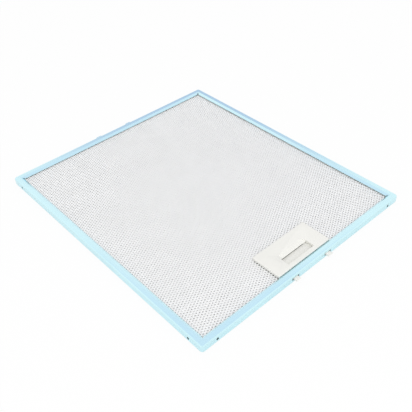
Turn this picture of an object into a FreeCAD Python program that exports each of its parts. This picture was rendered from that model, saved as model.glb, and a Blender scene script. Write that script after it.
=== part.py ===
import FreeCAD, Part
import math
import os
import Sketcher

# Cooker hood grease filter. A folded aluminium channel holds a pack of expanded mesh and crimped foil.
# A moulded handle slides in the front edge: springs push its two tongues out through slots in the frame.
# X runs across the filter, Y from the latch to the rear tabs, Z up from the surface that it lies on.

SIZES = (
    ("overall_width", 267.5, "frame across"),
    ("overall_length", 305.5, "frame from front wall to rear wall"),
    ("overall_height", 9.0, "frame thickness"),
    ("sheet_gauge", 0.5, "aluminium sheet of the frame"),
    ("edge_radius", 2.0, "outer radius where a wall turns into a lip"),
    ("corner_radius", 3.0, "outer radius of the four folded corners"),
    ("rest_land", 3.8, "flat band of the lip beside the edge radius"),
    ("lip_width", 8.05, "wall face to the inner edge of the lip"),
    ("lip_drop", 1.8, "how far the lip slopes in towards the pack"),
    ("mitre_gap", 0.1, "slit between the two lips at a corner"),
    ("mitre_stop", 0.6, "end of the slit to the flat band of the lip"),
    ("corner_notch", 0.9, "relief notch at the inner end of the slit"),
    ("drain_diameter", 2.6, "drain hole in the frame wall"),
    ("drain_inset", 17.0, "drain hole to the outside of the corner"),
    ("tab_spacing", 42.0, "between the two rear tabs"),
    ("tab_width", 6.5, "rear tab"),
    ("tab_reach", 4.0, "rear tab beyond the wall"),
    ("tab_level", 6.0, "upper face of the rear tabs"),
    ("pack_side_gap", 1.0, "pack to the inside of the frame wall"),
    ("pack_top_gap", 0.7, "pack to the upper lip, the pack lies on the lower one"),
    ("mesh_gauge", 0.35, "expanded sheet"),
    ("mesh_height", 0.8, "expanded sheet over its raised strands"),
    ("mesh_row_pitch", 2.87, "strand rows, along Y, two to a ridge of the sheet"),
    ("mesh_long_pitch", 5.0, "openings in a row, along X"),
    ("mesh_strand", 0.7, "metal left between two openings"),
    ("gap_row_step", 14, "rows from one open diamond to the next"),
    ("gap_column_step", 6, "openings from one open diamond to the next"),
    ("foil_gauge", 0.15, "crimped foil"),
    ("foil_pitch", 9.0, "crimps of the foil"),
    ("handle_width", 69.5, "handle plate across"),
    ("handle_depth", 33.3, "handle plate, front to back"),
    ("handle_gap", 0.35, "lip edge to the handle plate"),
    ("handle_sink", 0.4, "handle plate below the top of the frame"),
    ("handle_wall", 1.5, "moulded walls of the handle"),
    ("handle_corner", 1.2, "corner radius of the handle plate"),
    ("handle_round", 0.6, "rounded upper edge of the handle plate"),
    ("mesh_clearance", 0.3, "handle over and under the mesh it slides on"),
    ("handle_overlap", 1.25, "handle plate beyond the notch in the mesh"),
    ("pocket_width", 35.0, "finger pocket across"),
    ("pocket_length", 15.0, "finger pocket, front to back"),
    ("pocket_rim", 4.3, "handle front to the finger pocket"),
    ("pocket_slope", 4.9, "run of the pocket's sloping back wall"),
    ("pocket_round", 5.5, "corner radius at the ends of the sloping wall"),
    ("pocket_floor", 0.9, "floor of the finger pocket"),
    ("undercut_height", 1.6, "finger groove under the walls of the pocket"),
    ("undercut_depth", 3.0, "how far the finger groove goes back"),
    ("undercut_side", 0.9, "how far the finger groove goes sideways"),
    ("floor_slot_set_back", 0.45, "lip of the sloping wall to the slot in the pocket's floor"),
    ("floor_slot_end", 2.5, "end wall of the pocket to the slot in its floor"),
    ("tongue_side_gap", 0.5, "finger pocket's end wall to the tongue"),
    ("tongue_width", 5.0, "latch tongue"),
    ("tongue_gauge", 2.0, "latch tongue, upright"),
    ("tongue_reach", 4.0, "latch tongue beyond the wall"),
    ("tongue_lead", 1.2, "sloped nose under the tongue"),
    ("slot_side_gap", 1.9, "slot beside the tongue"),
    ("slot_gap", 0.3, "slot over and under the tongue"),
    ("latch_travel", 4.5, "how far the handle draws back"),
    ("runner_inset", 6.25, "side of the handle plate to the runner"),
    ("runner_gauge", 2.0, "runner"),
    ("notch_side_gap", 2.0, "runner to the notch in the mesh"),
    ("foot_reach", 5.5, "runner's foot under the mesh"),
    ("foot_length", 10.5, "runner's foot along the slide"),
    ("foot_gap", 0.8, "foot to the side wall of the tray"),
    ("stop_gap", 0.1, "foot to its stop in the tray"),
    ("stop_length", 2.0, "stop in the tray"),
    ("slide_gap", 0.2, "handle over the floor of the tray"),
    ("tray_gauge", 0.5, "floor of the tray"),
    ("tray_wall", 1.2, "walls of the tray"),
    ("tray_end_gap", 0.5, "tray to the inside of the front wall"),
    ("tray_fit", 0.3, "tray to the notch in the foil"),
    ("spring_outer", 3.0, "coil spring across"),
    ("spring_wire", 0.4, "spring wire"),
    ("spring_length", 12.4, "coil spring at rest"),
    ("spring_turns", 6, "turns of the spring"),
    ("spring_chords", 10, "straight chords in a turn of the spring"),
    ("peg_length", 2.0, "pegs that hold the spring"),
)
FOIL_LAYERS = 4
WIRE_SIDES = 6
SIDES = ((-1, "left"), (1, "right"))
SAME_PLACE = 1e-4
MITRED = 1

doc = FreeCAD.newDocument("GreaseFilter")
sizes = doc.addObject("Spreadsheet::Sheet", "Sizes")
for row, (alias, number, note) in enumerate(SIZES, start=1):
    sizes.set("A%d" % row, str(number))
    sizes.setAlias("A%d" % row, alias)
    sizes.set("B%d" % row, note)
doc.recompute()


def named(expression):
    """Puts the sheet's name before each alias in an expression."""
    words = []
    for word in expression.split():
        bare = word.strip("()-")
        if bare and not bare[0].isdigit() and bare not in "+-*/":
            word = word.replace(bare, "Sizes." + bare)
        words.append(word)
    return " ".join(words)


def value(expression):
    """The number that a bound expression gives now."""
    return float(sizes.evalExpression(expression))


def plus(*terms):
    return " + ".join("(%s)" % term for term in terms)


def minus(first, *rest):
    return " - ".join("(%s)" % term for term in (first,) + rest)


def half(term):
    return "(%s) / 2" % term


def negative(term):
    return "-(%s)" % term


# Planes that several pieces share, as expressions on the sheet.
HALF_WIDTH = named("overall_width / 2")
HALF_LENGTH = named("overall_length / 2")
HEIGHT = named("overall_height")
SHEET = named("sheet_gauge")
LIP = named("lip_width")
FRONT_WALL = negative(HALF_LENGTH)
PACK_BASE = named("lip_drop + sheet_gauge")
PACK_TOP = minus(HEIGHT, PACK_BASE, named("pack_top_gap"))
FOIL_BASE = plus(PACK_BASE, named("mesh_height"))
FRONT_MESH_BASE = minus(PACK_TOP, named("mesh_height"))
FOIL_STEP = "(%s) / %d" % (minus(FRONT_MESH_BASE, FOIL_BASE), FOIL_LAYERS)
PACK_HALF_WIDTH = minus(HALF_WIDTH, SHEET, named("pack_side_gap"))
PACK_HALF_LENGTH = minus(HALF_LENGTH, SHEET, named("pack_side_gap"))

HANDLE_FRONT = plus(FRONT_WALL, LIP, named("handle_gap"))
HANDLE_BACK = plus(HANDLE_FRONT, named("handle_depth"))
HANDLE_TOP = minus(HEIGHT, named("handle_sink"))
HANDLE_SKIRT = plus(PACK_TOP, named("mesh_clearance"))
HANDLE_CEILING = minus(HANDLE_TOP, named("handle_wall"))
POCKET_FRONT = plus(HANDLE_FRONT, named("pocket_rim"))
POCKET_BACK = plus(POCKET_FRONT, named("pocket_length"))
TUB_BACK = plus(POCKET_BACK, named("handle_wall"))
TRAY_FLOOR = plus(FOIL_BASE, named("tray_gauge"))
SLIDER_BASE = plus(TRAY_FLOOR, named("slide_gap"))
POCKET_FLOOR = plus(SLIDER_BASE, named("pocket_floor"))
TONGUE_CENTRE = named("pocket_width / 2 + handle_wall + tongue_side_gap + tongue_width / 2")
RUNNER_OUT = named("handle_width / 2 - runner_inset")
FOOT_TOP = minus(FRONT_MESH_BASE, named("mesh_clearance"))
FOOT_OUT = plus(RUNNER_OUT, named("foot_reach"))
FOOT_FRONT = minus(TUB_BACK, named("foot_length"))
NOTCH_HALF_WIDTH = plus(RUNNER_OUT, named("notch_side_gap"))
NOTCH_BACK = minus(HANDLE_BACK, named("handle_overlap"))
TRAY_SIDE = plus(FOOT_OUT, named("foot_gap"))
TRAY_HALF_WIDTH = plus(TRAY_SIDE, named("tray_wall"))
TRAY_BACK = minus(NOTCH_BACK, named("slide_gap"))
TRAY_FRONT = plus(FRONT_WALL, SHEET, named("tray_end_gap"))
SPRING_BACK = minus(TRAY_BACK, named("tray_wall"))
SPRING_FRONT = minus(SPRING_BACK, named("spring_length"))
SPRING_LEVEL = plus(TRAY_FLOOR, named("slide_gap + spring_outer / 2"))
TONGUE_TIP = minus(FRONT_WALL, named("tongue_reach"))
TONGUE_TOP = plus(SLIDER_BASE, named("tongue_gauge"))
PEG_RADIUS = named("spring_outer / 2 - spring_wire - slide_gap")


def on_side(side, near, far):
    """The lower and upper X of what lies between two distances, left or right of the middle."""
    return (near, far) if side > 0 else (negative(far), negative(near))


def place(part, low):
    for axis, expression in zip("xyz", low):
        part.setExpression("Placement.Base." + axis, expression)


def box(name, low, high):
    """A box between two corners, each given as three expressions."""
    part = doc.addObject("Part::Box", name)
    for side, start, end in zip(("Length", "Width", "Height"), low, high):
        part.setExpression(side, minus(end, start))
    place(part, low)
    return part


def rod(name, base, radius, length, axis):
    """A cylinder from a base point along an axis of the frame."""
    part = doc.addObject("Part::Cylinder", name)
    part.setExpression("Radius", radius)
    part.setExpression("Height", length)
    part.Placement.Rotation = FreeCAD.Rotation(FreeCAD.Vector(0, 0, 1), FreeCAD.Vector(*axis))
    place(part, base)
    return part


def fuse(name, pieces):
    part = doc.addObject("Part::MultiFuse", name)
    part.Shapes = pieces
    part.Refine = True
    return part


def cut(name, base, tools):
    part = doc.addObject("Part::Cut", name)
    part.Base = base
    part.Tool = tools[0] if len(tools) == 1 else fuse(name + "_tools", tools)
    part.Refine = True
    return part


def origin_plane(body, role):
    return next(plane for plane in body.Origin.OriginFeatures if plane.Role == role)


def closed_sketch(body, name, role, points):
    """A sketch on an origin plane, with one straight line from each point to the next."""
    sketch = body.newObject("Sketcher::SketchObject", name)
    sketch.AttachmentSupport = [(origin_plane(body, role), "")]
    sketch.MapMode = "FlatFace"
    corners = [FreeCAD.Vector(value(x), value(y), 0) for x, y in points]
    ends = corners[1:] + corners[:1]
    lines = [Part.LineSegment(start, end) for start, end in zip(corners, ends)]
    sketch.addGeometry(lines, False)
    for index, (x, y) in enumerate(points):
        following = (index + 1) % len(points)
        sketch.addConstraint(Sketcher.Constraint("Coincident", index, 2, following, 1))
        for kind, expression in (("DistanceX", x), ("DistanceY", y)):
            number = sketch.addConstraint(Sketcher.Constraint(kind, -1, 1, index, 1, value(expression)))
            sketch.setExpression("Constraints[%d]" % number, expression)
    return sketch


def block(body, name, low, high):
    """A padded rectangle between two corners, each given as three expressions."""
    points = ((low[0], low[1]), (high[0], low[1]), (high[0], high[1]), (low[0], high[1]))
    sketch = closed_sketch(body, name + "_outline", "XY_Plane", points)
    sketch.setExpression("AttachmentOffset.Base.z", low[2])
    pad = body.newObject("PartDesign::Pad", name)
    pad.Profile = sketch
    pad.setExpression("Length", minus(high[2], low[2]))
    doc.recompute()
    return pad


def round_edges(body, name, wanted, radius):
    """Fillets the edges of the body's last feature that a test picks."""
    base = body.Tip
    picked = ["Edge%d" % number for number, edge in enumerate(base.Shape.Edges, start=1) if wanted(edge)]
    fillet = body.newObject("PartDesign::Fillet", name)
    fillet.Base = (base, picked)
    fillet.setExpression("Radius", radius)
    doc.recompute()
    return fillet


def is_upright(edge):
    ends = [vertex.Point for vertex in edge.Vertexes]
    return len(ends) == 2 and (ends[0] - ends[1]).cross(FreeCAD.Vector(0, 0, 1)).Length < SAME_PLACE


def lies_at(level):
    def test(edge):
        return all(abs(vertex.Z - level) < SAME_PLACE for vertex in edge.Vertexes)
    return test


def rounded_block(name, low, high, corner, edge):
    """A block with rounded upright corners, then rounded upper and lower edges."""
    body = doc.addObject("PartDesign::Body", name)
    block(body, name + "_pad", low, high)
    round_edges(body, name + "_corners", is_upright, corner)
    lower, upper = lies_at(value(low[2])), lies_at(value(high[2]))
    round_edges(body, name + "_edges", lambda line: lower(line) or upper(line), edge)
    return body


def lip_funnel(name, lower, upper, lower_inset, upper_inset):
    """A four-sided funnel between two levels, each with its inset from the frame's outside."""
    part = doc.addObject("Part::Wedge", name)
    for end, level, inset in (("", lower, lower_inset), ("2", upper, upper_inset)):
        for axis, reach in (("X", HALF_WIDTH), ("Z", HALF_LENGTH)):
            part.setExpression("%s%smin" % (axis, end), negative(minus(reach, inset)))
            part.setExpression("%s%smax" % (axis, end), minus(reach, inset))
    part.setExpression("Ymin", lower)
    part.setExpression("Ymax", upper)
    part.Placement.Rotation = FreeCAD.Rotation(FreeCAD.Vector(1, 0, 0), 90)
    return part


def frame_channel():
    """The channel: a rounded block, hollowed so that wall and lips are one gauge of sheet."""
    blank = rounded_block(
        "frame_blank",
        (negative(HALF_WIDTH), negative(HALF_LENGTH), "0"),
        (HALF_WIDTH, HALF_LENGTH, HEIGHT),
        named("corner_radius"), named("edge_radius"))
    inner_width, inner_length = minus(HALF_WIDTH, SHEET), minus(HALF_LENGTH, SHEET)
    core = rounded_block(
        "frame_core",
        (negative(inner_width), negative(inner_length), SHEET),
        (inner_width, inner_length, minus(HEIGHT, SHEET)),
        named("corner_radius - sheet_gauge"), named("edge_radius - sheet_gauge"))
    slope_start = named("edge_radius + rest_land")
    drop = named("lip_drop")
    under_lip = minus(HEIGHT, SHEET)
    upper_inside = lip_funnel("upper_lip_inside", minus(under_lip, drop), under_lip, LIP, slope_start)
    lower_inside = lip_funnel("lower_lip_inside", SHEET, plus(SHEET, drop), slope_start, LIP)
    hollow = cut("frame_hollow", core, [upper_inside, lower_inside])
    upper_outside = lip_funnel("upper_lip_outside", minus(HEIGHT, drop), HEIGHT, LIP, slope_start)
    lower_outside = lip_funnel("lower_lip_outside", "0", drop, slope_start, LIP)
    opening_x, opening_y = minus(HALF_WIDTH, LIP), minus(HALF_LENGTH, LIP)
    opening = box("frame_opening", (negative(opening_x), negative(opening_y), "0"),
                  (opening_x, opening_y, HEIGHT))
    return cut("frame_channel", blank, [hollow, upper_outside, lower_outside, opening])


def corner_slits():
    """At each corner the lips meet in a mitre slit that ends in a small notch."""
    slits = []
    reach = "sqrt(2) * (%s)" % named("lip_width - edge_radius - rest_land - mitre_stop")
    sideways = "(%s) / sqrt(2)" % named("mitre_gap / 2")
    notch, setback = named("corner_notch"), named("corner_notch / 2")
    for side_x in (-1, 1):
        for side_y in (-1, 1):
            tag = "%s_%s" % ("left" if side_x < 0 else "right", "front" if side_y < 0 else "rear")
            inner_x = "%d * (%s)" % (side_x, minus(HALF_WIDTH, LIP))
            inner_y = "%d * (%s)" % (side_y, minus(HALF_LENGTH, LIP))
            slit = doc.addObject("Part::Box", "mitre_" + tag)
            slit.setExpression("Length", reach)
            slit.setExpression("Width", named("mitre_gap"))
            slit.setExpression("Height", HEIGHT)
            heading = math.degrees(math.atan2(side_y, side_x))
            slit.Placement.Rotation = FreeCAD.Rotation(FreeCAD.Vector(0, 0, 1), heading)
            place(slit, (plus(inner_x, "%d * %s" % (side_y, sideways)),
                         plus(inner_y, "%d * %s" % (-side_x, sideways)), "0"))
            low_x = minus(inner_x, notch if side_x < 0 else setback)
            low_y = minus(inner_y, notch if side_y < 0 else setback)
            size = plus(notch, setback)
            relief = box("notch_" + tag, (low_x, low_y, "0"),
                         (plus(low_x, size), plus(low_y, size), HEIGHT))
            slits += [slit, relief]
    return slits


def drain_holes():
    """A drain hole in each wall near each corner, half way up."""
    holes = []
    radius = named("drain_diameter / 2")
    level = half(HEIGHT)
    depth = named("edge_radius")
    for side_x in (-1, 1):
        for side_y in (-1, 1):
            along_x = "%d * (%s)" % (side_x, minus(HALF_WIDTH, named("drain_inset")))
            along_y = "%d * (%s)" % (side_y, minus(HALF_LENGTH, named("drain_inset")))
            end_x = "%d * (%s)" % (side_x, HALF_WIDTH)
            end_y = "%d * (%s)" % (side_y, HALF_LENGTH)
            tag = "%d%d" % (side_x > 0, side_y > 0)
            holes.append(rod("drain_end_" + tag, (along_x, end_y, level), radius, depth, (0, -side_y, 0)))
            holes.append(rod("drain_side_" + tag, (end_x, along_y, level), radius, depth, (-side_x, 0, 0)))
    return holes


def latch_slots():
    """The two slots in the front wall that the tongues come out of."""
    slots = []
    for side, tag in SIDES:
        centre = "%d * (%s)" % (side, TONGUE_CENTRE)
        reach = named("tongue_width / 2 + slot_side_gap")
        low = (minus(centre, reach), FRONT_WALL, minus(SLIDER_BASE, named("slot_gap")))
        high = (plus(centre, reach), plus(FRONT_WALL, SHEET), plus(TONGUE_TOP, named("slot_gap")))
        slots.append(box("latch_slot_" + tag, low, high))
    return slots


def rear_tabs():
    """Each rear tab is cut free from the wall on three sides and folded straight out."""
    windows, tabs = [], []
    inside = minus(HALF_LENGTH, SHEET)
    level = named("tab_level")
    for side, tag in SIDES:
        low_x = "%d * (%s) - (%s)" % (side, named("tab_spacing / 2"), named("tab_width / 2"))
        high_x = plus(low_x, named("tab_width"))
        windows.append(box("tab_window_" + tag, (low_x, inside, minus(level, named("tab_reach"))),
                           (high_x, HALF_LENGTH, level)))
        tabs.append(box("tab_" + tag, (low_x, inside, minus(level, SHEET)),
                        (high_x, plus(HALF_LENGTH, named("tab_reach")), level)))
    return windows, tabs


def build_frame():
    windows, tabs = rear_tabs()
    holes = corner_slits() + drain_holes() + latch_slots() + windows
    pierced = cut("frame_pierced", frame_channel(), holes)
    return fuse("frame", [pierced] + tabs)


def crimped_sheet(name, along, across, base, height, gauge, pitch, runs_along_x):
    """A sheet folded into ridges: a zigzag section, drawn as a wire and extruded across the pack."""
    length, width = 2 * value(along), value(across)
    thick, rise = value(gauge), value(height) - value(gauge)
    count = int(length / value(pitch))
    step = length / count / 2
    foot = value(base)
    lower = [(-length / 2 + step * index, foot + rise * (index % 2)) for index in range(2 * count + 1)]
    upper = [(place_along, level + thick) for place_along, level in reversed(lower)]
    outline = lower + upper
    if runs_along_x:
        points = [FreeCAD.Vector(-width, place_along, level) for place_along, level in outline]
        direction = FreeCAD.Vector(1, 0, 0)
    else:
        points = [FreeCAD.Vector(place_along, -width, level) for place_along, level in outline]
        direction = FreeCAD.Vector(0, 1, 0)
    section = doc.addObject("Part::Feature", name + "_section")
    section.Shape = Part.makePolygon(points + points[:1])
    sheet = doc.addObject("Part::Extrusion", name + "_sheet")
    sheet.Base = section
    sheet.DirMode = "Custom"
    sheet.Dir = direction
    sheet.Solid = True
    sheet.setExpression("LengthFwd", "2 * (%s)" % across)
    return sheet


def open_diamonds(name, base, height, skip):
    """Open diamonds through the mesh on its own lattice, clear of the handle's notch."""
    pitch_x, pitch_y = value(named("mesh_long_pitch")), value(named("mesh_row_pitch"))
    strand = value(named("mesh_strand"))
    reach_x, reach_y = (pitch_x - strand) / 2, (pitch_y - strand) / 2
    step_x = pitch_x * value(named("gap_column_step"))
    step_y = pitch_y * value(named("gap_row_step"))
    columns = int((value(HALF_WIDTH) - value(LIP) - pitch_x) / step_x + 0.5)
    rows = int((value(HALF_LENGTH) - value(LIP) - pitch_y) / step_y + 0.5)
    level, depth = value(base), value(height)
    diamonds = []
    for column in range(-columns, columns):
        for line in range(-rows, rows):
            x, y = (column + 0.5) * step_x, (line + 0.5) * step_y
            if skip and abs(x) < value(NOTCH_HALF_WIDTH) + pitch_x and y < value(NOTCH_BACK) + pitch_y:
                continue
            corners = [(x - reach_x, y), (x, y - reach_y), (x + reach_x, y), (x, y + reach_y)]
            corners.append(corners[0])
            outline = Part.makePolygon([FreeCAD.Vector(px, py, level) for px, py in corners])
            diamonds.append(Part.Face(outline).extrude(FreeCAD.Vector(0, 0, depth)))
    part = doc.addObject("Part::Feature", name + "_diamonds")
    part.Shape = Part.makeCompound(diamonds)
    return part


def build_mesh(name, base, notched):
    height = named("mesh_height")
    sheet = crimped_sheet(name, PACK_HALF_LENGTH, PACK_HALF_WIDTH, base, height,
                          named("mesh_gauge"), named("mesh_row_pitch * 2"), True)
    tools = [open_diamonds(name, base, height, notched)]
    if notched:
        tools.append(box(name + "_notch", (negative(NOTCH_HALF_WIDTH), FRONT_WALL, base),
                         (NOTCH_HALF_WIDTH, NOTCH_BACK, plus(base, height))))
    return cut(name, sheet, tools)


def build_foil(number):
    """Foil layers lie crosswise to each other, with a notch for the latch tray."""
    name = "foil_layer_%d" % (number + 1)
    base = plus(FOIL_BASE, "%d * (%s)" % (number, FOIL_STEP))
    runs_along_x = number % 2 == 1
    along, across = PACK_HALF_WIDTH, PACK_HALF_LENGTH
    if runs_along_x:
        along, across = across, along
    sheet = crimped_sheet(name, along, across, base, FOIL_STEP,
                          named("foil_gauge"), named("foil_pitch"), runs_along_x)
    side = plus(TRAY_HALF_WIDTH, named("tray_fit"))
    notch = box(name + "_notch", (negative(side), FRONT_WALL, base),
                (side, plus(TRAY_BACK, named("tray_fit")), plus(base, FOIL_STEP)))
    return cut(name, sheet, [notch])


def handle_plate(body):
    """The plate that shows, hollow underneath, with a rounded upper edge."""
    side = named("handle_width / 2")
    block(body, "plate", (negative(side), HANDLE_FRONT, HANDLE_SKIRT), (side, HANDLE_BACK, HANDLE_TOP))
    round_edges(body, "plate_corners", is_upright, named("handle_corner"))
    round_edges(body, "plate_edge", lies_at(value(HANDLE_TOP)), named("handle_round"))
    wall = named("handle_wall")
    inner = minus(side, wall)
    low_y, high_y = plus(HANDLE_FRONT, wall), minus(HANDLE_BACK, wall)
    points = ((negative(inner), low_y), (inner, low_y), (inner, high_y), (negative(inner), high_y))
    sketch = closed_sketch(body, "plate_hollow_outline", "XY_Plane", points)
    sketch.setExpression("AttachmentOffset.Base.z", HANDLE_SKIRT)
    hollow = body.newObject("PartDesign::Pocket", "plate_hollow")
    hollow.Profile = sketch
    hollow.Reversed = True
    hollow.setExpression("Length", minus(HANDLE_CEILING, HANDLE_SKIRT))
    doc.recompute()


def handle_underside(body):
    """Tub of the finger pocket, tongues with their webs, and runners with feet."""
    wall = named("handle_wall")
    tub = plus(named("pocket_width / 2"), wall)
    block(body, "tub", (negative(tub), minus(POCKET_FRONT, wall), SLIDER_BASE),
          (tub, TUB_BACK, HANDLE_CEILING))
    for side, tag in SIDES:
        centre = "%d * (%s)" % (side, TONGUE_CENTRE)
        reach = named("tongue_width / 2")
        low_x, high_x = minus(centre, reach), plus(centre, reach)
        block(body, "web_" + tag, (low_x, plus(HANDLE_FRONT, wall), SLIDER_BASE),
              (high_x, SPRING_FRONT, HANDLE_CEILING))
        tongue_points = (
            (SPRING_FRONT, TONGUE_TOP), (SPRING_FRONT, SLIDER_BASE),
            (plus(TONGUE_TIP, named("tongue_lead")), SLIDER_BASE),
            (TONGUE_TIP, plus(SLIDER_BASE, named("tongue_lead"))), (TONGUE_TIP, TONGUE_TOP))
        sketch = closed_sketch(body, "tongue_outline_" + tag, "YZ_Plane", tongue_points)
        sketch.setExpression("AttachmentOffset.Base.z", low_x)
        tongue = body.newObject("PartDesign::Pad", "tongue_" + tag)
        tongue.Profile = sketch
        tongue.setExpression("Length", named("tongue_width"))
        doc.recompute()
        inner = minus(RUNNER_OUT, named("runner_gauge"))
        runner_low, runner_high = on_side(side, inner, RUNNER_OUT)
        foot_low, foot_high = on_side(side, inner, FOOT_OUT)
        block(body, "runner_" + tag, (runner_low, plus(HANDLE_FRONT, wall), SLIDER_BASE),
              (runner_high, TUB_BACK, HANDLE_CEILING))
        block(body, "foot_" + tag, (foot_low, FOOT_FRONT, SLIDER_BASE), (foot_high, TUB_BACK, FOOT_TOP))


def across(body, kind, name, points, width):
    """Pad or pocket an upright outline, half the width to each side of the middle."""
    sketch = closed_sketch(body, name + "_outline", "YZ_Plane", points)
    feature = body.newObject("PartDesign::" + kind, name)
    feature.Profile = sketch
    feature.Midplane = True
    feature.setExpression("Length", width)
    doc.recompute()


def finger_pocket(body):
    """The finger pocket: a sloping back wall that ends in a lip, a groove under the lip to hook into,
    a flat floor, and a slot in the floor below the lip."""
    width = named("pocket_width")
    lip = minus(POCKET_BACK, named("pocket_slope"))
    lip_level = plus(POCKET_FLOOR, named("undercut_height"))
    groove_back = plus(lip, named("undercut_depth"))
    slot_front = plus(lip, named("floor_slot_set_back"))
    across(body, "Pocket", "finger_pocket",
           ((POCKET_FRONT, HANDLE_TOP), (POCKET_FRONT, lip_level),
            (POCKET_BACK, lip_level), (POCKET_BACK, HANDLE_TOP)), width)
    top, back, low = value(HANDLE_TOP), value(POCKET_BACK), value(lip_level)

    def on_back_corner(edge):
        levels = sorted(vertex.Z for vertex in edge.Vertexes)
        upright = abs(levels[0] - low) < SAME_PLACE and abs(levels[-1] - top) < SAME_PLACE
        return upright and all(abs(vertex.Y - back) < SAME_PLACE for vertex in edge.Vertexes)
    round_edges(body, "pocket_ends", on_back_corner, named("pocket_round"))
    across(body, "Pad", "sloping_wall",
           ((lip, lip_level), (POCKET_BACK, lip_level), (POCKET_BACK, HANDLE_TOP)), width)
    across(body, "Pocket", "finger_groove",
           ((POCKET_FRONT, POCKET_FLOOR), (groove_back, POCKET_FLOOR),
            (groove_back, lip_level), (POCKET_FRONT, lip_level)),
           named("pocket_width + 2 * undercut_side"))
    across(body, "Pocket", "floor_slot",
           ((slot_front, SLIDER_BASE), (groove_back, SLIDER_BASE),
            (groove_back, POCKET_FLOOR), (slot_front, POCKET_FLOOR)),
           named("pocket_width - 2 * floor_slot_end"))


def build_handle():
    body = doc.addObject("PartDesign::Body", "latch_handle_moulding")
    handle_plate(body)
    handle_underside(body)
    before = body.Shape.Volume
    finger_pocket(body)
    if body.Shape.Volume >= before:
        raise RuntimeError("the finger pocket cut nothing")
    pegs = [peg("handle_peg_" + tag, side, SPRING_FRONT, (0, 1, 0)) for side, tag in SIDES]
    return fuse("latch_handle", [body] + pegs)


def peg(name, side, start, axis):
    """A peg inside the end of a spring."""
    centre = "%d * (%s)" % (side, TONGUE_CENTRE)
    return rod(name, (centre, start, SPRING_LEVEL), PEG_RADIUS, named("peg_length"), axis)


def build_tray():
    """Floor, back wall and side walls, with a stop in front of each foot and a peg for each spring."""
    pieces = [
        box("tray_floor", (negative(TRAY_HALF_WIDTH), TRAY_FRONT, FOIL_BASE),
            (TRAY_HALF_WIDTH, TRAY_BACK, TRAY_FLOOR)),
        box("tray_back", (negative(TRAY_SIDE), SPRING_BACK, FOIL_BASE), (TRAY_SIDE, TRAY_BACK, FOOT_TOP)),
        box("tray_spring_wall", (negative(RUNNER_OUT), SPRING_BACK, FOIL_BASE),
            (RUNNER_OUT, TRAY_BACK, PACK_TOP)),
    ]
    for side, tag in SIDES:
        wall_low, wall_high = on_side(side, TRAY_SIDE, TRAY_HALF_WIDTH)
        stop_low, stop_high = on_side(side, plus(RUNNER_OUT, named("slide_gap")), TRAY_SIDE)
        stop_back = minus(FOOT_FRONT, named("stop_gap"))
        stop_front = minus(stop_back, named("stop_length"))
        pieces.append(box("tray_wall_" + tag, (wall_low, TRAY_FRONT, FOIL_BASE),
                          (wall_high, TRAY_BACK, FOOT_TOP)))
        pieces.append(box("tray_stop_" + tag, (stop_low, stop_front, FOIL_BASE),
                          (stop_high, stop_back, FOOT_TOP)))
        pieces.append(peg("tray_peg_" + tag, side, SPRING_BACK, (0, -1, 0)))
    return fuse("latch_tray", pieces)


def build_spring(side, tag):
    """A coil of wire between the handle and the tray, in short chords with a six-sided section."""
    wire = value(named("spring_wire"))
    mean_radius = (value(named("spring_outer")) - wire) / 2
    run = value(named("spring_length")) - wire
    chords = int(value(named("spring_chords * spring_turns")))
    turn = 2 * math.pi / value(named("spring_chords"))
    coil = [FreeCAD.Vector(mean_radius * math.cos(turn * index), mean_radius * math.sin(turn * index),
                           run * index / chords) for index in range(chords + 1)]
    heading = coil[1] - coil[0]
    outward = heading.cross(FreeCAD.Vector(0, 0, 1)).normalize() * (wire / 2)
    corners = []
    for index in range(WIRE_SIDES):
        turned = FreeCAD.Rotation(heading, 360 * index / WIRE_SIDES)
        corners.append(coil[0] + turned.multVec(outward))
    section = Part.makePolygon(corners + corners[:1])
    spring = doc.addObject("Part::Feature", "latch_spring_" + tag)
    spring.Shape = Part.makePolygon(coil).makePipeShell([section], True, False, MITRED)
    across = side * value(TONGUE_CENTRE)
    seat = FreeCAD.Vector(across, value(SPRING_FRONT) + wire / 2, value(SPRING_LEVEL))
    spring.Placement = FreeCAD.Placement(seat, FreeCAD.Rotation(FreeCAD.Vector(1, 0, 0), -90))
    return spring


nodes = [build_frame()]
nodes += [build_mesh("front_mesh", FRONT_MESH_BASE, True), build_mesh("back_mesh", PACK_BASE, False)]
nodes += [build_foil(number) for number in range(FOIL_LAYERS)]
nodes += [build_handle(), build_tray()]
nodes += [build_spring(side, tag) for side, tag in SIDES]
doc.recompute()

for item in doc.Objects:
    if "Invalid" in item.State or "Error" in item.State:
        raise RuntimeError("%s did not build: %s" % (item.Label, item.State))
for node in nodes:
    if node.Shape.isNull() or not node.Shape.isValid():
        raise RuntimeError("%s has no valid shape" % node.Label)

os.makedirs("parts", exist_ok=True)
for node in nodes:
    node.Shape.exportStep("parts/%s.step" % node.Label)
    print("%-22s %d solid(s) %9.1f mm3" % (node.Label, len(node.Shape.Solids), node.Shape.Volume))
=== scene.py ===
import math

import bmesh
import bpy
from bpy.props import FloatProperty, FloatVectorProperty, PointerProperty
from mathutils import Matrix, Quaternion, Vector


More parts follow.
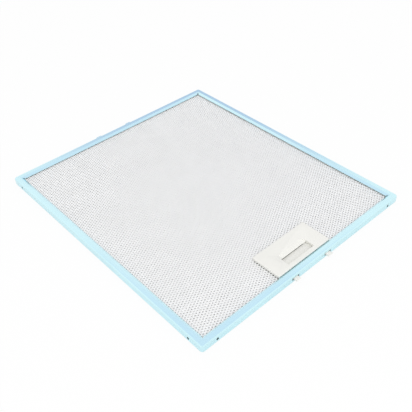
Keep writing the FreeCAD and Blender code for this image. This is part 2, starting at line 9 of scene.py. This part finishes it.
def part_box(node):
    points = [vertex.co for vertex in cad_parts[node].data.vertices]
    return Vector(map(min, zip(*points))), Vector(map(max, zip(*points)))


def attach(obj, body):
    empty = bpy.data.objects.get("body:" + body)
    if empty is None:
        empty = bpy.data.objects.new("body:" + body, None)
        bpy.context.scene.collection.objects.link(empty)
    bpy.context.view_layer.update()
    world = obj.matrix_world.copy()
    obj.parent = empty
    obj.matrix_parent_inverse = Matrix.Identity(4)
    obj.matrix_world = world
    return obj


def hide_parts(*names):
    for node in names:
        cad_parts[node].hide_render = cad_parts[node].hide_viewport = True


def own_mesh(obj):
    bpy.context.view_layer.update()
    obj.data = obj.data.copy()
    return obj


bl_info = {
    "name": "Cooker hood grease filter",
    "version": (1, 0, 0),
    "blender": (4, 5, 0),
    "location": "View3D > Sidebar > Grease filter",
    "description": "Expanded metal skins, finishes and a studio for a cooker hood grease filter",
    "category": "Object",
}

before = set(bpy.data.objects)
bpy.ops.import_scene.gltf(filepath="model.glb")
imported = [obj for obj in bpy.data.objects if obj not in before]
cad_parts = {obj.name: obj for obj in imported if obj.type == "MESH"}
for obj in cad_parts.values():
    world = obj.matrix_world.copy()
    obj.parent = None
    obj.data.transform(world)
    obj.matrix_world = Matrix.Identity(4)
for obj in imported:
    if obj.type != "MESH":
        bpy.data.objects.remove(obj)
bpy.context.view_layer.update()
MM = 0.001
FILTER_BODY = "filter"
LATCH_BODY = "latch"
STARTUP_OBJECTS = ("Cube", "Light", "Camera")
WHITE = (1.0, 1.0, 1.0, 1.0)

# Corners closer than these are one corner: of the CAD facets, of two sheets and along the notch
FACET_MERGE = 0.001 * MM
SHEET_MERGE = 0.01 * MM
NOTCH_MERGE = 0.002 * MM
# Corners closer than these to a cut lie on it, while it is made and when its ends are closed
CUT_TOLERANCE = 0.0001 * MM
END_TOLERANCE = 0.001 * MM
# What a sheet of diamonds has beyond its room before it is cut, both sides together
SPARE_DIAMONDS = 6
SPARE_PITCHES = 3
# Facets of the handle that meet at less than the first are one face, at more than the second a rounded edge
FLAT_ANGLE = math.radians(1)
EDGE_ANGLE = math.radians(40)
EDGE_SEGMENTS = 2
# Facets of the spring wire that meet at less than this are one curve
WIRE_CREASE = math.radians(70)
# Where the mirrored shade and ceiling are whole and where they end, as parts of a unit direction
SHADE_SIDES = (0.12, 0.34)
SHADE_HEIGHT = (0.52, 0.64)
SHADE_AHEAD = (0.3, 0.0)
CEILING_HEIGHT = (0.765, 0.715)
FLOOR_REACH = 3.0
FLOOR_DROP = 0.05 * MM
SENSOR_WIDTH = 36.0
CLIP_START = 0.01


class FilterSizes(bpy.types.PropertyGroup):
    """Sizes of what is finer than the solids."""

    long_pitch: FloatProperty(
        name="Long pitch", description="Openings of the expanded metal, along the rows",
        default=5.0 * MM, min=1 * MM, unit="LENGTH", precision=5)
    short_pitch: FloatProperty(
        name="Short pitch", description="Openings of the expanded metal, across the rows",
        default=2.87 * MM, min=1 * MM, unit="LENGTH", precision=5)
    strand: FloatProperty(
        name="Strand", description="Width of a strand of the expanded metal, seen from above",
        default=1.48 * MM, min=0.1 * MM, unit="LENGTH", precision=5)
    dish: FloatProperty(
        name="Dish", description="How far the edges of the openings lie below the bonds",
        default=0.4 * MM, min=0, unit="LENGTH", precision=5)
    lean: FloatProperty(
        name="Lean", description="How far the strands lean over, towards the rear tabs",
        default=0.2 * MM, unit="LENGTH", precision=5)
    notch_side: FloatProperty(
        name="Notch side", description="Side of the handle plate to the notch in the front skin",
        default=4.25 * MM, unit="LENGTH", precision=5)
    notch_back: FloatProperty(
        name="Notch back", description="Back of the handle plate to the notch in the front skin",
        default=1.25 * MM, unit="LENGTH", precision=5)
    moulded_edge: FloatProperty(
        name="Moulded edge", description="Rounding on the edges of the moulded handle",
        default=0.22 * MM, min=0, unit="LENGTH", precision=5)
    crease_angle: FloatProperty(
        name="Crease angle", description="Faces that meet at less than this are shaded as one curve",
        default=math.radians(32), subtype="ANGLE")


class FilterFinishes(bpy.types.PropertyGroup):
    """Colours of the pieces."""

    rolled_pale: FloatVectorProperty(
        name="Rolled sheet, pale", description="Bright side of the frame's anodised tint",
        subtype="COLOR", default=(0.68, 0.94, 0.99), min=0, max=1)
    rolled_deep: FloatVectorProperty(
        name="Rolled sheet, deep", description="Deeper side of the frame's anodised tint",
        subtype="COLOR", default=(0.65, 0.91, 0.97), min=0, max=1)
    strand_pale: FloatVectorProperty(
        name="Strand, pale", description="Bright side of the expanded metal",
        subtype="COLOR", default=(0.97, 0.968, 0.953), min=0, max=1)
    strand_deep: FloatVectorProperty(
        name="Strand, deep", description="Duller side of the expanded metal",
        subtype="COLOR", default=(0.95, 0.948, 0.933), min=0, max=1)
    foil_pale: FloatVectorProperty(
        name="Foil, pale", description="Bright side of the foil",
        subtype="COLOR", default=(0.985, 0.983, 0.975), min=0, max=1)
    # Painted shade: a darker foil colour put into the slits, standing for the shade that falls inside them
    foil_slit_shade: FloatVectorProperty(
        name="Foil, deep", description="Duller lips of the slits in the foil",
        subtype="COLOR", default=(0.95, 0.948, 0.94), min=0, max=1)
    handle: FloatVectorProperty(
        name="Handle", description="Warm white plastic of the latch handle",
        subtype="COLOR", default=(0.885, 0.88, 0.84), min=0, max=1)
    # Painted shade: the hidden tray is coloured dark so that the openings beside the handle look into shade
    tray: FloatVectorProperty(
        name="Tray", description="Dark plastic of the hidden latch tray",
        subtype="COLOR", default=(0.12, 0.12, 0.12), min=0, max=1)
    wire: FloatVectorProperty(
        name="Spring wire", description="Drawn steel wire of the springs",
        subtype="COLOR", default=(0.55, 0.55, 0.56), min=0, max=1)


class StudioSettings(bpy.types.PropertyGroup):
    """Camera, floor and light."""

    camera_place: FloatVectorProperty(
        name="Camera place", description="Where the camera stands",
        subtype="TRANSLATION", unit="LENGTH", default=(-0.3073, -0.3712, 0.3963))
    camera_target: FloatVectorProperty(
        name="Camera target", description="Point on the floor that the camera looks at",
        subtype="TRANSLATION", unit="LENGTH", default=(-0.0043, -0.0264, 0.0))
    camera_roll: FloatProperty(
        name="Camera roll", description="Turn about the line of sight",
        subtype="ANGLE", default=math.radians(-2.152))
    camera_lens: FloatProperty(
        name="Lens", description="Focal length on a 36 mm sensor",
        default=51.52, min=1, subtype="DISTANCE_CAMERA")
    camera_shift: FloatProperty(
        name="Shift", description="Sideways shift of the picture, in frame widths", default=-0.0194)
    floor_colour: FloatVectorProperty(
        name="Floor", description="Pale floor of the studio",
        subtype="COLOR", default=(0.93, 0.93, 0.93), min=0, max=1)
    floor_share: FloatProperty(
        name="Floor white", description="How much of the floor is seen as plain white, beside its shadow",
        default=0.92, min=0, max=1)
    mirrored_share: FloatProperty(
        name="Mirrored white", description="How much of the floor bright metal mirrors as plain white",
        default=0.2, min=0, max=1)
    sky_level: FloatProperty(
        name="Sky level", description="Even light from all round", default=0.79, min=0)
    shade_colour: FloatVectorProperty(
        name="Shade", description="Cool shade between the studio's white walls, which bright metal mirrors",
        subtype="COLOR", default=(0.62, 0.64, 0.80), min=0, max=1)
    ceiling_colour: FloatVectorProperty(
        name="Ceiling", description="Cool ceiling over the studio's white walls, which bright metal mirrors",
        subtype="COLOR", default=(0.85, 0.875, 0.96), min=0, max=1)
    shade_heading: FloatProperty(
        name="Shade heading", description="Where the shade lies, turned from +X towards +Y",
        subtype="ANGLE", default=math.radians(50))
    softbox_power: FloatProperty(
        name="Softbox power", description="Wide lamp in front, above and to the left", default=25.0, min=0,
        unit="POWER")
    softbox_size: FloatProperty(
        name="Softbox size", description="Side of the wide lamp", default=2.6, min=0.1, unit="LENGTH")
    softbox_place: FloatVectorProperty(
        name="Softbox place", description="Where the wide lamp hangs",
        subtype="TRANSLATION", unit="LENGTH", default=(-1.0, -1.5, 1.6))


def merged_copy(node):
    """A bmesh of a CAD node with its loose triangles joined."""
    bm = bmesh.new()
    bm.from_mesh(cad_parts[node].data)
    bmesh.ops.remove_doubles(bm, verts=bm.verts, dist=FACET_MERGE)
    return bm


def crease(bm, angle):
    """Smooth faces, with a sharp edge wherever two faces meet at more than an angle."""
    for face in bm.faces:
        face.smooth = True
    for edge in bm.edges:
        edge.smooth = len(edge.link_faces) == 2 and edge.calc_face_angle() < angle


def new_piece(name, bm, body, slot, material, *stands_for):
    """An object from a bmesh that rides on a CAD body and stands for CAD nodes."""
    mesh = bpy.data.meshes.new(name)
    bm.to_mesh(mesh)
    bm.free()
    piece = bpy.data.objects.new(name, mesh)
    bpy.context.scene.collection.objects.link(piece)
    mesh.materials.append(material)
    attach(piece, body)
    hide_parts(*stands_for)
    return piece


def dress_node(name, material):
    """Gives a CAD node that is shown as it is a finish of its own."""
    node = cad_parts[name]
    node.data.materials.clear()
    node.data.materials.append(material)


def new_material(name):
    """A material with its node tree and its shader."""
    material = bpy.data.materials.new(name)
    material.use_nodes = True
    tree = material.node_tree
    return material, tree, tree.nodes["Principled BSDF"]


def add_noise(tree, scale, detail=2.0, stretch=(1.0, 1.0, 1.0)):
    """Noise on Object coordinates, with a scale in features per metre."""
    place = tree.nodes.new("ShaderNodeTexCoord")
    mapping = tree.nodes.new("ShaderNodeMapping")
    mapping.inputs["Scale"].default_value = stretch
    noise = tree.nodes.new("ShaderNodeTexNoise")
    noise.inputs["Scale"].default_value = scale
    noise.inputs["Detail"].default_value = detail
    tree.links.new(place.outputs["Object"], mapping.inputs["Vector"])
    tree.links.new(mapping.outputs["Vector"], noise.inputs["Vector"])
    return noise


def tint(tree, shader, source, deep, pale, low=0.35, high=0.65):
    """Runs a pattern between two colours into the base colour."""
    ramp = tree.nodes.new("ShaderNodeValToRGB")
    ramp.color_ramp.elements[0].position = low
    ramp.color_ramp.elements[1].position = high
    ramp.color_ramp.elements[0].color = (*deep, 1.0)
    ramp.color_ramp.elements[1].color = (*pale, 1.0)
    tree.links.new(source.outputs["Fac"], ramp.inputs["Fac"])
    tree.links.new(ramp.outputs["Color"], shader.inputs["Base Color"])


def vary_roughness(tree, shader, source, smooth, rough):
    """Runs a pattern between two roughnesses."""
    spread = tree.nodes.new("ShaderNodeMapRange")
    spread.inputs["To Min"].default_value = smooth
    spread.inputs["To Max"].default_value = rough
    tree.links.new(source.outputs["Fac"], spread.inputs["Value"])
    tree.links.new(spread.outputs["Result"], shader.inputs["Roughness"])


def emboss(tree, shader, source, strength, depth):
    """Uses a pattern as a fine relief of a given depth."""
    bump = tree.nodes.new("ShaderNodeBump")
    bump.inputs["Strength"].default_value = strength
    bump.inputs["Distance"].default_value = depth
    tree.links.new(source.outputs["Fac"], bump.inputs["Height"])
    tree.links.new(bump.outputs["Normal"], shader.inputs["Normal"])


def darker(colour, share):
    """A colour with a share of its brightness."""
    return [channel * share for channel in colour]


def rolled_sheet(finishes):
    """Bright rolled aluminium with a pale blue tint."""
    material, tree, shader = new_material("rolled_sheet")
    clouds = add_noise(tree, scale=14.0)
    grain = add_noise(tree, scale=1800.0)
    tint(tree, shader, clouds, finishes.rolled_deep, finishes.rolled_pale)
    vary_roughness(tree, shader, grain, smooth=0.14, rough=0.22)
    emboss(tree, shader, grain, strength=0.08, depth=0.02 * MM)
    shader.inputs["Metallic"].default_value = 1.0
    return material


def expanded_sheet(finishes):
    """Satin aluminium of the slit and stretched skins."""
    material, tree, shader = new_material("expanded_sheet")
    clouds = add_noise(tree, scale=60.0)
    grain = add_noise(tree, scale=2400.0)
    tint(tree, shader, clouds, finishes.strand_deep, finishes.strand_pale)
    vary_roughness(tree, shader, grain, smooth=0.48, rough=0.62)
    emboss(tree, shader, grain, strength=0.12, depth=0.02 * MM)
    shader.inputs["Metallic"].default_value = 0.65
    return material


def crimped_foil(finishes):
    """Thin foil, crimped and slit all over, with painted shade darkening the slits."""
    material, tree, shader = new_material("crimped_foil")
    slits = add_noise(tree, scale=520.0, detail=1.0, stretch=(1.0, 2.4, 1.0))
    grain = add_noise(tree, scale=2600.0)
    # Painted shade: the slit pattern darkens the foil's colour where the slits open
    tint(tree, shader, slits, finishes.foil_slit_shade, finishes.foil_pale, low=0.30, high=0.48)
    vary_roughness(tree, shader, grain, smooth=0.40, rough=0.56)
    emboss(tree, shader, slits, strength=0.15, depth=0.05 * MM)
    shader.inputs["Metallic"].default_value = 0.65
    return material


def moulded_plastic(name, colour, roughness, spread=0.06):
    """Plastic with a fine moulded grain, and with a roughness that varies by a spread."""
    material, tree, shader = new_material(name)
    clouds = add_noise(tree, scale=40.0)
    grain = add_noise(tree, scale=3200.0)
    tint(tree, shader, clouds, darker(colour, share=0.97), colour)
    vary_roughness(tree, shader, grain, smooth=roughness - spread, rough=roughness + spread)
    emboss(tree, shader, grain, strength=0.15, depth=0.03 * MM)
    return material


def spring_wire(finishes):
    """Drawn steel wire with die marks along it."""
    material, tree, shader = new_material("spring_wire")
    marks = add_noise(tree, scale=900.0, stretch=(1.0, 0.2, 1.0))
    tint(tree, shader, marks, darker(finishes.wire, share=0.8), finishes.wire)
    vary_roughness(tree, shader, marks, smooth=0.25, rough=0.4)
    emboss(tree, shader, marks, strength=0.1, depth=0.01 * MM)
    shader.inputs["Metallic"].default_value = 1.0
    return material


def each_once(elements):
    """Faces, edges or corners without repeats, in the order in which they come."""
    return list(dict.fromkeys(elements))


def diamond_sheet(bm, sizes, low, high, level, sink):
    """A sheet of diamonds between two corners, each with a sunken opening.

    The bonds of the expanded metal lie at a level and the edges of its openings at a depth below."""
    columns = math.ceil((high.x - low.x) / sizes.long_pitch)
    rows = math.ceil((high.y - low.y) / sizes.short_pitch)
    count = columns + rows + SPARE_DIAMONDS
    stretch = Matrix.Diagonal((sizes.long_pitch, sizes.short_pitch, 1.0, 1.0))
    stretch = stretch @ Matrix.Scale(count / (2 * math.sqrt(2)), 4)
    stretch = stretch @ Matrix.Rotation(math.radians(45), 4, "Z")
    middle = (low + high) / 2
    place = Matrix.Translation((middle.x, middle.y, level))
    made = bmesh.ops.create_grid(bm, x_segments=count, y_segments=count, size=1.0, matrix=place @ stretch)
    diamonds = each_once(face for vert in made["verts"] for face in vert.link_faces)
    reach_x = (high.x - low.x + SPARE_PITCHES * sizes.long_pitch) / 2
    reach_y = (high.y - low.y + SPARE_PITCHES * sizes.short_pitch) / 2
    outside = []
    for face in diamonds:
        away = face.calc_center_median() - middle
        if abs(away.x) > reach_x or abs(away.y) > reach_y:
            outside.append(face)
    bmesh.ops.delete(bm, geom=outside, context="FACES")
    diamonds = [face for face in diamonds if face.is_valid]
    bmesh.ops.inset_individual(
        bm, faces=diamonds, thickness=sizes.strand / 2, depth=-sink, use_even_offset=True)
    rims = each_once(vert for face in diamonds for vert in face.verts)
    bmesh.ops.translate(bm, verts=rims, vec=(0.0, sizes.lean, 0.0))
    bmesh.ops.delete(bm, geom=diamonds, context="FACES_ONLY")


def cut_away(bm, place, outward, chosen=None):
    """Cuts along a plane. With no chosen faces, what lies outward is cut off."""
    faces = bm.faces[:] if chosen is None else chosen
    edges = each_once(edge for face in faces for edge in face.edges)
    verts = each_once(vert for face in faces for vert in face.verts)
    bmesh.ops.bisect_plane(
        bm, geom=verts + edges + faces, dist=CUT_TOLERANCE, plane_co=place, plane_no=outward,
        clear_outer=chosen is None)


def open_edges(bm):
    """Edges at the cut ends of the strands."""
    return [edge for edge in bm.edges if edge.is_boundary]


def on_cut(edge, place, outward):
    """Whether an edge lies in the plane of a cut."""
    return all(abs((vert.co - place).dot(outward)) < END_TOLERANCE for vert in edge.verts)


def close_strands(bm, edges):
    """Closes the ends of the strands."""
    closed = bmesh.ops.holes_fill(bm, edges=edges, sides=0)
    bmesh.ops.triangulate(bm, faces=closed["faces"], ngon_method="BEAUTY")


def face_outward(bm):
    """Turns every face of a closed form outward."""
    bmesh.ops.recalc_face_normals(bm, faces=bm.faces)
    if bm.calc_volume(signed=True) < 0:
        bmesh.ops.reverse_faces(bm, faces=bm.faces)


def cut_notch(bm, sizes):
    """Cuts the handle's notch out of a skin."""
    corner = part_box("latch_handle")[1]
    side = corner.x - sizes.notch_side
    back = corner.y - sizes.notch_back
    spare = sizes.long_pitch
    for sign in (-1, 1):
        near = [face for face in bm.faces if face.calc_center_median().y < back + spare]
        cut_away(bm, (sign * side, 0, 0), (sign, 0, 0), near)
    near = [face for face in bm.faces if abs(face.calc_center_median().x) < side]
    cut_away(bm, (0, back, 0), (0, 1, 0), near)
    inside = []
    for face in bm.faces:
        centre = face.calc_center_median()
        if abs(centre.x) < side and centre.y < back:
            inside.append(face)
    bmesh.ops.delete(bm, geom=inside, context="FACES")
    bmesh.ops.remove_doubles(bm, verts=bm.verts, dist=NOTCH_MERGE)
    close_strands(bm, open_edges(bm))


def expanded_skin(sizes, node, facing, notched):
    """Expanded metal in the room of a CAD skin, with its bonds on the side that faces out."""
    low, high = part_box(node)
    bonds, inside = (high.z, low.z) if facing > 0 else (low.z, high.z)
    rims = bonds - facing * sizes.dish
    bm = bmesh.new()
    diamond_sheet(bm, sizes, low, high, bonds, bonds - rims)
    diamond_sheet(bm, sizes, low, high, inside, inside - rims)
    bmesh.ops.remove_doubles(bm, verts=bm.verts, dist=SHEET_MERGE)
    for place, outward in ((low, (-1, 0, 0)), (high, (1, 0, 0)), (low, (0, -1, 0)), (high, (0, 1, 0))):
        cut_away(bm, place, outward)
        close_strands(bm, [edge for edge in open_edges(bm) if on_cut(edge, place, Vector(outward))])
    if notched:
        cut_notch(bm, sizes)
    face_outward(bm)
    return bm


def round_edges(piece, width):
    """Rounds the edges of a moulding."""
    rounding = piece.modifiers.new("rounded_edges", "BEVEL")
    rounding.width = width
    rounding.segments = EDGE_SEGMENTS
    rounding.limit_method = "ANGLE"
    rounding.angle_limit = EDGE_ANGLE
    rounding.harden_normals = True


def mould_handle(sizes, finishes):
    """The latch handle with its flat faces whole and its edges rounded."""
    bm = merged_copy("latch_handle")
    bmesh.ops.dissolve_limit(bm, angle_limit=FLAT_ANGLE, verts=bm.verts, edges=bm.edges)
    crease(bm, math.pi)
    plastic = moulded_plastic("handle_plastic", finishes.handle, roughness=0.42)
    handle = new_piece("moulded_handle", bm, LATCH_BODY, "handle_plastic", plastic, "latch_handle")
    round_edges(handle, sizes.moulded_edge)


def wind_springs(finishes):
    """The two coil springs, as smooth-shaded copies of their CAD nodes."""
    wire = spring_wire(finishes)
    for side in ("left", "right"):
        node = f"latch_spring_{side}"
        bm = merged_copy(node)
        crease(bm, WIRE_CREASE)
        spring = new_piece(f"coil_spring_{side}", bm, FILTER_BODY, "spring_wire", wire, node)
        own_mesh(spring)


class FILTER_OT_frame(bpy.types.Operator):
    """Shows the folded frame with its bends smooth and its sheet bright"""

    bl_idname = "filter.frame"
    bl_label = "Folded frame"

    def execute(self, context):
        scene = context.scene
        material = rolled_sheet(scene.filter_finishes)
        bm = merged_copy("frame")
        crease(bm, scene.filter_sizes.crease_angle)
        new_piece("folded_frame", bm, FILTER_BODY, "frame_sheet", material, "frame")
        return {"FINISHED"}


class FILTER_OT_skins(bpy.types.Operator):
    """Makes the two skins of expanded metal"""

    bl_idname = "filter.skins"
    bl_label = "Expanded skins"

    def execute(self, context):
        scene = context.scene
        material = expanded_sheet(scene.filter_finishes)
        for name, node, facing, notched in (
                ("front_skin", "front_mesh", 1, True), ("back_skin", "back_mesh", -1, False)):
            bm = expanded_skin(scene.filter_sizes, node, facing, notched)
            new_piece(name, bm, FILTER_BODY, "mesh_sheet", material, node)
        return {"FINISHED"}


class FILTER_OT_foil(bpy.types.Operator):
    """Finishes the crimped foil inside the pack"""

    bl_idname = "filter.foil"
    bl_label = "Foil layers"

    def execute(self, context):
        material = crimped_foil(context.scene.filter_finishes)
        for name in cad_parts:
            if name.startswith("foil_layer"):
                dress_node(name, material)
        return {"FINISHED"}


class FILTER_OT_latch(bpy.types.Operator):
    """Makes the moulded latch handle and its springs, and finishes its tray in a dark colour that is painted
    shade
    """

    bl_idname = "filter.latch"
    bl_label = "Latch"

    def execute(self, context):
        finishes = context.scene.filter_finishes
        mould_handle(context.scene.filter_sizes, finishes)
        # Painted shade: the tray's dark colour stands for the shade inside the latch, seen through the
        # skin's openings
        plastic = moulded_plastic("tray_plastic", finishes.tray, roughness=0.5)
        dress_node("latch_tray", plastic)
        wind_springs(finishes)
        return {"FINISHED"}


def fall_off(tree, source, whole, none):
    """1 where a value is at one end of a range, falling softly to 0 at the other end."""
    ramp = tree.nodes.new("ShaderNodeMapRange")
    ramp.interpolation_type = "SMOOTHSTEP"
    ramp.inputs["From Min"].default_value = none
    ramp.inputs["From Max"].default_value = whole
    tree.links.new(source, ramp.inputs["Value"])
    return ramp.outputs["Result"]


def combine(tree, operation, first, second):
    """One value from two."""
    result = tree.nodes.new("ShaderNodeMath")
    result.operation = operation
    tree.links.new(first, result.inputs[0])
    tree.links.new(second, result.inputs[1])
    return result.outputs["Value"]


def scaled(tree, source, factor):
    """A value times a fixed factor."""
    result = tree.nodes.new("ShaderNodeMath")
    result.operation = "MULTIPLY"
    result.inputs[1].default_value = factor
    tree.links.new(source, result.inputs[0])
    return result.outputs["Value"]


def along(tree, direction, axis):
    """How far a direction points along an axis."""
    share = tree.nodes.new("ShaderNodeVectorMath")
    share.operation = "DOT_PRODUCT"
    share.inputs[1].default_value = axis
    tree.links.new(direction, share.inputs[0])
    return share.outputs["Value"]


def seen_or_mirrored(tree):
    """1 for rays from the camera, and 1 for rays from a mirror or a glass."""
    path = tree.nodes.new("ShaderNodeLightPath")
    mirrored = combine(tree, "MAXIMUM", path.outputs["Is Glossy Ray"], path.outputs["Is Transmission Ray"])
    return path.outputs["Is Camera Ray"], mirrored


def washed(tree, shade, amount, colour=None):
    """A colour, or else white, that turns to a shade by an amount."""
    wash = tree.nodes.new("ShaderNodeMix")
    wash.data_type = "RGBA"
    wash.inputs["A"].default_value = WHITE
    wash.inputs["B"].default_value = (*shade, 1.0)
    if colour is not None:
        tree.links.new(colour, wash.inputs["A"])
    tree.links.new(amount, wash.inputs["Factor"])
    return wash.outputs["Result"]


def show_mixed(tree, first, second, share, output):
    """Sends two shaders to an output, with a share of the second."""
    choice = tree.nodes.new("ShaderNodeMixShader")
    tree.links.new(share, choice.inputs["Fac"])
    tree.links.new(first, choice.inputs[1])
    tree.links.new(second, choice.inputs[2])
    tree.links.new(choice.outputs["Shader"], tree.nodes[output].inputs["Surface"])


def seen_studio(tree, studio, mirrored):
    """Plain white all round.

    Bright metal mirrors white walls under a cool ceiling, with a cool shade low down between two of them."""
    direction = tree.nodes.new("ShaderNodeTexCoord").outputs["Generated"]
    height = along(tree, direction, (0.0, 0.0, 1.0))
    heading = Vector((math.cos(studio.shade_heading), math.sin(studio.shade_heading), 0.0))
    ahead = along(tree, direction, heading)
    sideways = along(tree, direction, (-heading.y, heading.x, 0.0))
    either_side = combine(tree, "MULTIPLY", sideways, sideways)
    side_limits = [limit ** 2 for limit in SHADE_SIDES]
    shade = mirrored
    for source, limits in ((either_side, side_limits), (height, SHADE_HEIGHT), (ahead, SHADE_AHEAD)):
        shade = combine(tree, "MULTIPLY", shade, fall_off(tree, source, *limits))
    ceiling = combine(tree, "MULTIPLY", mirrored, fall_off(tree, height, *CEILING_HEIGHT))
    walls = washed(tree, studio.ceiling_colour, ceiling)
    return washed(tree, studio.shade_colour, shade, walls)


def studio_sky(studio):
    """Even light from all round, in which the camera and bright metal see the studio."""
    world = bpy.data.worlds.new("studio_sky")
    world.use_nodes = True
    tree = world.node_tree
    lit = tree.nodes["Background"]
    lit.inputs["Strength"].default_value = studio.sky_level
    lit.inputs["Color"].default_value = WHITE
    seen = tree.nodes.new("ShaderNodeBackground")
    looked_at, mirrored = seen_or_mirrored(tree)
    tree.links.new(seen_studio(tree, studio, mirrored), seen.inputs["Color"])
    share = combine(tree, "MAXIMUM", looked_at, mirrored)
    show_mixed(tree, lit.outputs["Background"], seen.outputs["Background"], share, "World Output")
    bpy.context.scene.world = world


def floor_paint(studio):
    """Pale paint, of which a share is seen and mirrored as plain white."""
    material, tree, shader = new_material("studio_floor")
    shader.inputs["Base Color"].default_value = (*studio.floor_colour, 1.0)
    shader.inputs["Roughness"].default_value = 0.9
    shader.inputs["Specular IOR Level"].default_value = 0.0
    white = tree.nodes.new("ShaderNodeEmission")
    looked_at, mirrored = seen_or_mirrored(tree)
    seen_white = scaled(tree, looked_at, studio.floor_share)
    mirrored_white = scaled(tree, mirrored, studio.mirrored_share)
    share = combine(tree, "MAXIMUM", seen_white, mirrored_white)
    show_mixed(tree, shader.outputs["BSDF"], white.outputs["Emission"], share, "Material Output")
    return material


def studio_floor(studio):
    """A pale floor that keeps a light shadow of the filter."""
    bm = bmesh.new()
    bmesh.ops.create_grid(bm, x_segments=1, y_segments=1, size=FLOOR_REACH)
    bmesh.ops.translate(bm, verts=bm.verts, vec=(0.0, 0.0, -FLOOR_DROP))
    mesh = bpy.data.meshes.new("studio_floor")
    bm.to_mesh(mesh)
    bm.free()
    mesh.materials.append(floor_paint(studio))
    floor = bpy.data.objects.new("studio_floor", mesh)
    bpy.context.scene.collection.objects.link(floor)


def studio_softbox(studio):
    """A wide square lamp that faces the filter."""
    lamp = bpy.data.lights.new("front_softbox", "AREA")
    lamp.shape = "SQUARE"
    lamp.size = studio.softbox_size
    lamp.energy = studio.softbox_power
    holder = bpy.data.objects.new("front_softbox", lamp)
    holder.location = studio.softbox_place
    holder.rotation_mode = "QUATERNION"
    holder.rotation_quaternion = (-Vector(studio.softbox_place)).to_track_quat("-Z", "Y")
    holder.visible_glossy = False
    bpy.context.scene.collection.objects.link(holder)


def studio_camera(studio):
    """The camera, at the angle of a product picture from the front left."""
    lens = bpy.data.cameras.new("studio_camera")
    lens.sensor_width = SENSOR_WIDTH
    lens.lens = studio.camera_lens
    lens.shift_x = studio.camera_shift
    lens.clip_start = CLIP_START
    camera = bpy.data.objects.new("studio_camera", lens)
    sight = Vector(studio.camera_target) - Vector(studio.camera_place)
    camera.location = studio.camera_place
    camera.rotation_mode = "QUATERNION"
    roll = Quaternion((0.0, 0.0, 1.0), studio.camera_roll)
    camera.rotation_quaternion = sight.to_track_quat("-Z", "Y") @ roll
    bpy.context.scene.collection.objects.link(camera)
    bpy.context.scene.camera = camera


class FILTER_OT_studio(bpy.types.Operator):
    """Sets up the floor, the light and the camera"""

    bl_idname = "filter.studio"
    bl_label = "Studio"

    def execute(self, context):
        studio = context.scene.filter_studio
        context.scene.view_settings.view_transform = "Standard"
        studio_sky(studio)
        studio_floor(studio)
        studio_softbox(studio)
        studio_camera(studio)
        return {"FINISHED"}


class FILTER_PT_panel(bpy.types.Panel):
    """The filter's sizes, colours and steps"""

    bl_label = "Grease filter"
    bl_idname = "FILTER_PT_panel"
    bl_space_type = "VIEW_3D"
    bl_region_type = "UI"
    bl_category = "Grease filter"

    def draw(self, context):
        scene = context.scene
        for group in (scene.filter_sizes, scene.filter_finishes, scene.filter_studio):
            box = self.layout.box()
            for name in group.__annotations__:
                box.prop(group, name)
        for step in OPERATORS:
            self.layout.operator(step.bl_idname)


GROUPS = {
    "filter_sizes": FilterSizes,
    "filter_finishes": FilterFinishes,
    "filter_studio": StudioSettings,
}
OPERATORS = (FILTER_OT_frame, FILTER_OT_skins, FILTER_OT_foil, FILTER_OT_latch, FILTER_OT_studio)


def register():
    for name, group in GROUPS.items():
        bpy.utils.register_class(group)
        setattr(bpy.types.Scene, name, PointerProperty(type=group))
    for step in OPERATORS:
        bpy.utils.register_class(step)
    bpy.utils.register_class(FILTER_PT_panel)


def unregister():
    bpy.utils.unregister_class(FILTER_PT_panel)
    for step in reversed(OPERATORS):
        bpy.utils.unregister_class(step)
    for name, group in GROUPS.items():
        delattr(bpy.types.Scene, name)
        bpy.utils.unregister_class(group)


def clear_startup_scene():
    """Removes what a new file holds."""
    for name in STARTUP_OBJECTS:
        if name in bpy.data.objects:
            bpy.data.objects.remove(bpy.data.objects[name])


def main():
    clear_startup_scene()
    register()
    bpy.ops.filter.frame()
    bpy.ops.filter.skins()
    bpy.ops.filter.foil()
    bpy.ops.filter.latch()
    bpy.ops.filter.studio()


if __name__ == "__main__":
    main()
